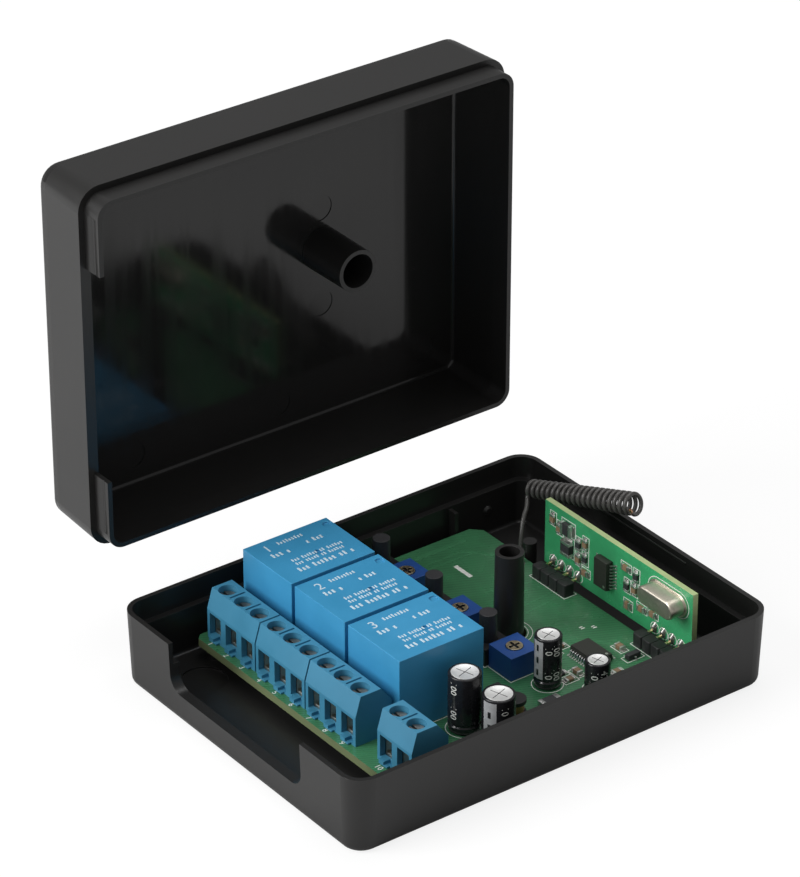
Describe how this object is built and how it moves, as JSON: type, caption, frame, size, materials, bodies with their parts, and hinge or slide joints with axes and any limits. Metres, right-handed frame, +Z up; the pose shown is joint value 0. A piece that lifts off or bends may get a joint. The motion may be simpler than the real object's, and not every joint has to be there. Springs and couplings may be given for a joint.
{
  "type": "radio receiver",
  "caption": "Radio relay receiver in a two-part plastic case, shown open, with relays, screw terminals, trimmers, push buttons, an upright radio board and a coiled wire aerial.",
  "frame": {"origin": "centre of the tray's flat underside, on the surface that it stands on", "axes": "+X from the cable notch to the aerial end, +Y towards the lid, +Z up"},
  "size_m": [0.096, 0.0961, 0.0979],
  "materials": {
    "case_plastic": "semi-gloss moulded",
    "board_green": "solder mask",
    "radio_green": "solder mask",
    "relay_blue": "satin moulded",
    "relay_base": "matte moulded",
    "iron": "plated",
    "copper_wire": "enamelled winding",
    "terminal_blue": "fine matte",
    "brass_contact": "tinned",
    "zinc_steel": "zinc plated",
    "trimmer_blue": "satin moulded",
    "rotor_brass": "satin",
    "black_plastic": "matte moulded",
    "stem_black": "matte moulded",
    "capacitor_sleeve": "shrunk sleeve",
    "chip_black": "moulded resin",
    "chip_tan": "ceramic",
    "crystal_can": "drawn can",
    "wire_cover": "wire insulation"
  },
  "bodies": {
    "case": {"tray": "case_plastic", "main_board": "board_green", "relay_bases": "relay_base", "relay_yokes": "iron", "relay_coils": "copper_wire", "terminal_contacts": "brass_contact", "capacitors": "capacitor_sleeve", "choke": "black_plastic", "controller_chip": "chip_black", "chip_parts": "chip_tan", "radio_board": "radio_green", "radio_chip": "chip_black", "crystal": "crystal_can", "radio_headers": "black_plastic", "antenna": "wire_cover", "relay_case_1": "relay_blue", "trimmer_body_1": "trimmer_blue", "button_base_1": "black_plastic", "relay_case_2": "relay_blue", "trimmer_body_2": "trimmer_blue", "button_base_2": "black_plastic", "relay_case_3": "relay_blue", "trimmer_body_3": "trimmer_blue", "button_base_3": "black_plastic", "terminal_block_1": "terminal_blue", "terminal_block_2": "terminal_blue", "terminal_block_3": "terminal_blue", "terminal_block_4": "terminal_blue"},
    "lid": {"lid": "case_plastic"},
    "armature_1": {"relay_armature_1": "iron"},
    "armature_2": {"relay_armature_2": "iron"},
    "armature_3": {"relay_armature_3": "iron"},
    "screw_1": {"clamp_screw_1": "zinc_steel"},
    "cage_1": {"clamp_cage_1": "zinc_steel"},
    "screw_2": {"clamp_screw_2": "zinc_steel"},
    "cage_2": {"clamp_cage_2": "zinc_steel"},
    "screw_3": {"clamp_screw_3": "zinc_steel"},
    "cage_3": {"clamp_cage_3": "zinc_steel"},
    "screw_4": {"clamp_screw_4": "zinc_steel"},
    "cage_4": {"clamp_cage_4": "zinc_steel"},
    "screw_5": {"clamp_screw_5": "zinc_steel"},
    "cage_5": {"clamp_cage_5": "zinc_steel"},
    "screw_6": {"clamp_screw_6": "zinc_steel"},
    "cage_6": {"clamp_cage_6": "zinc_steel"},
    "screw_7": {"clamp_screw_7": "zinc_steel"},
    "cage_7": {"clamp_cage_7": "zinc_steel"},
    "screw_8": {"clamp_screw_8": "zinc_steel"},
    "cage_8": {"clamp_cage_8": "zinc_steel"},
    "screw_9": {"clamp_screw_9": "zinc_steel"},
    "cage_9": {"clamp_cage_9": "zinc_steel"},
    "screw_10": {"clamp_screw_10": "zinc_steel"},
    "cage_10": {"clamp_cage_10": "zinc_steel"},
    "screw_11": {"clamp_screw_11": "zinc_steel"},
    "cage_11": {"clamp_cage_11": "zinc_steel"},
    "rotor_1": {"trimmer_rotor_1": "rotor_brass"},
    "rotor_2": {"trimmer_rotor_2": "rotor_brass"},
    "rotor_3": {"trimmer_rotor_3": "rotor_brass"},
    "stem_1": {"button_stem_1": "stem_black"},
    "stem_2": {"button_stem_2": "stem_black"},
    "stem_3": {"button_stem_3": "stem_black"}
  },
  "joints": [
    {"name": "lid_turn", "type": "hinge", "parent": "case", "child": "lid", "pos_m": [0, 0.0451, 0.0158], "axis": [1, 0, 0], "range_deg": [0, 90]},
    {"name": "armature_1_pull", "type": "hinge", "parent": "case", "child": "armature_1", "pos_m": [-0.0219, 0.0235, 0.0184], "axis": [0, 1, 0], "range_deg": [0, 3.5], "stiffness_Nm_per_rad": 0.03, "springref_deg": -2.86},
    {"name": "armature_2_pull", "type": "hinge", "parent": "case", "child": "armature_2", "pos_m": [-0.0219, 0.007, 0.0184], "axis": [0, 1, 0], "range_deg": [0, 3.5], "stiffness_Nm_per_rad": 0.03, "springref_deg": -2.86},
    {"name": "armature_3_pull", "type": "hinge", "parent": "case", "child": "armature_3", "pos_m": [-0.0219, -0.0095, 0.0184], "axis": [0, 1, 0], "range_deg": [0, 3.5], "stiffness_Nm_per_rad": 0.03, "springref_deg": -2.86},
    {"name": "screw_1_turn", "type": "hinge", "parent": "case", "child": "screw_1", "pos_m": [-0.0292, 0.02828, 0.0142], "axis": [0, 0, -1], "range_deg": [0, 1440]},
    {"name": "cage_1_lift", "type": "slide", "parent": "case", "child": "cage_1", "axis": [0, 0, 1], "range_m": [0, 0.002]},
    {"name": "screw_2_turn", "type": "hinge", "parent": "case", "child": "screw_2", "pos_m": [-0.0292, 0.0232, 0.0142], "axis": [0, 0, -1], "range_deg": [0, 1440]},
    {"name": "cage_2_lift", "type": "slide", "parent": "case", "child": "cage_2", "axis": [0, 0, 1], "range_m": [0, 0.002]},
    {"name": "screw_3_turn", "type": "hinge", "parent": "case", "child": "screw_3", "pos_m": [-0.0292, 0.01812, 0.0142], "axis": [0, 0, -1], "range_deg": [0, 1440]},
    {"name": "cage_3_lift", "type": "slide", "parent": "case", "child": "cage_3", "axis": [0, 0, 1], "range_m": [0, 0.002]},
    {"name": "screw_4_turn", "type": "hinge", "parent": "case", "child": "screw_4", "pos_m": [-0.0292, 0.01268, 0.0142], "axis": [0, 0, -1], "range_deg": [0, 1440]},
    {"name": "cage_4_lift", "type": "slide", "parent": "case", "child": "cage_4", "axis": [0, 0, 1], "range_m": [0, 0.002]},
    {"name": "screw_5_turn", "type": "hinge", "parent": "case", "child": "screw_5", "pos_m": [-0.0292, 0.0076, 0.0142], "axis": [0, 0, -1], "range_deg": [0, 1440]},
    {"name": "cage_5_lift", "type": "slide", "parent": "case", "child": "cage_5", "axis": [0, 0, 1], "range_m": [0, 0.002]},
    {"name": "screw_6_turn", "type": "hinge", "parent": "case", "child": "screw_6", "pos_m": [-0.0292, 0.00252, 0.0142], "axis": [0, 0, -1], "range_deg": [0, 1440]},
    {"name": "cage_6_lift", "type": "slide", "parent": "case", "child": "cage_6", "axis": [0, 0, 1], "range_m": [0, 0.002]},
    {"name": "screw_7_turn", "type": "hinge", "parent": "case", "child": "screw_7", "pos_m": [-0.0292, -0.00292, 0.0142], "axis": [0, 0, -1], "range_deg": [0, 1440]},
    {"name": "cage_7_lift", "type": "slide", "parent": "case", "child": "cage_7", "axis": [0, 0, 1], "range_m": [0, 0.002]},
    {"name": "screw_8_turn", "type": "hinge", "parent": "case", "child": "screw_8", "pos_m": [-0.0292, -0.008, 0.0142], "axis": [0, 0, -1], "range_deg": [0, 1440]},
    {"name": "cage_8_lift", "type": "slide", "parent": "case", "child": "cage_8", "axis": [0, 0, 1], "range_m": [0, 0.002]},
    {"name": "screw_9_turn", "type": "hinge", "parent": "case", "child": "screw_9", "pos_m": [-0.0292, -0.01308, 0.0142], "axis": [0, 0, -1], "range_deg": [0, 1440]},
    {"name": "cage_9_lift", "type": "slide", "parent": "case", "child": "cage_9", "axis": [0, 0, 1], "range_m": [0, 0.002]},
    {"name": "screw_10_turn", "type": "hinge", "parent": "case", "child": "screw_10", "pos_m": [-0.0282, -0.02336, 0.0142], "axis": [0, 0, -1], "range_deg": [0, 1440]},
    {"name": "cage_10_lift", "type": "slide", "parent": "case", "child": "cage_10", "axis": [0, 0, 1], "range_m": [0, 0.002]},
    {"name": "screw_11_turn", "type": "hinge", "parent": "case", "child": "screw_11", "pos_m": [-0.0282, -0.02844, 0.0142], "axis": [0, 0, -1], "range_deg": [0, 1440]},
    {"name": "cage_11_lift", "type": "slide", "parent": "case", "child": "cage_11", "axis": [0, 0, 1], "range_m": [0, 0.002]},
    {"name": "rotor_1_turn", "type": "hinge", "parent": "case", "child": "rotor_1", "pos_m": [0.0068, 0.021, 0.0107], "axis": [0, 0, 1], "range_deg": [-130, 130]},
    {"name": "rotor_2_turn", "type": "hinge", "parent": "case", "child": "rotor_2", "pos_m": [0.0068, 0.0045, 0.0107], "axis": [0, 0, 1], "range_deg": [-130, 130]},
    {"name": "rotor_3_turn", "type": "hinge", "parent": "case", "child": "rotor_3", "pos_m": [0.0068, -0.012, 0.0107], "axis": [0, 0, 1], "range_deg": [-130, 130]},
    {"name": "button_1_press", "type": "slide", "parent": "case", "child": "stem_1", "axis": [0, 0, -1], "range_m": [0, 0.00025], "stiffness_N_per_m": 400, "springref_m": -0.0005},
    {"name": "button_2_press", "type": "slide", "parent": "case", "child": "stem_2", "axis": [0, 0, -1], "range_m": [0, 0.00025], "stiffness_N_per_m": 400, "springref_m": -0.0005},
    {"name": "button_3_press", "type": "slide", "parent": "case", "child": "stem_3", "axis": [0, 0, -1], "range_m": [0, 0.00025], "stiffness_N_per_m": 400, "springref_m": -0.0005}
  ],
  "couplings": [
    {"joint": "screw_1_turn", "follows": "cage_1_lift", "rad_per_m": 12566},
    {"joint": "screw_2_turn", "follows": "cage_2_lift", "rad_per_m": 12566},
    {"joint": "screw_3_turn", "follows": "cage_3_lift", "rad_per_m": 12566},
    {"joint": "screw_4_turn", "follows": "cage_4_lift", "rad_per_m": 12566},
    {"joint": "screw_5_turn", "follows": "cage_5_lift", "rad_per_m": 12566},
    {"joint": "screw_6_turn", "follows": "cage_6_lift", "rad_per_m": 12566},
    {"joint": "screw_7_turn", "follows": "cage_7_lift", "rad_per_m": 12566},
    {"joint": "screw_8_turn", "follows": "cage_8_lift", "rad_per_m": 12566},
    {"joint": "screw_9_turn", "follows": "cage_9_lift", "rad_per_m": 12566},
    {"joint": "screw_10_turn", "follows": "cage_10_lift", "rad_per_m": 12566},
    {"joint": "screw_11_turn", "follows": "cage_11_lift", "rad_per_m": 12566}
  ]
}
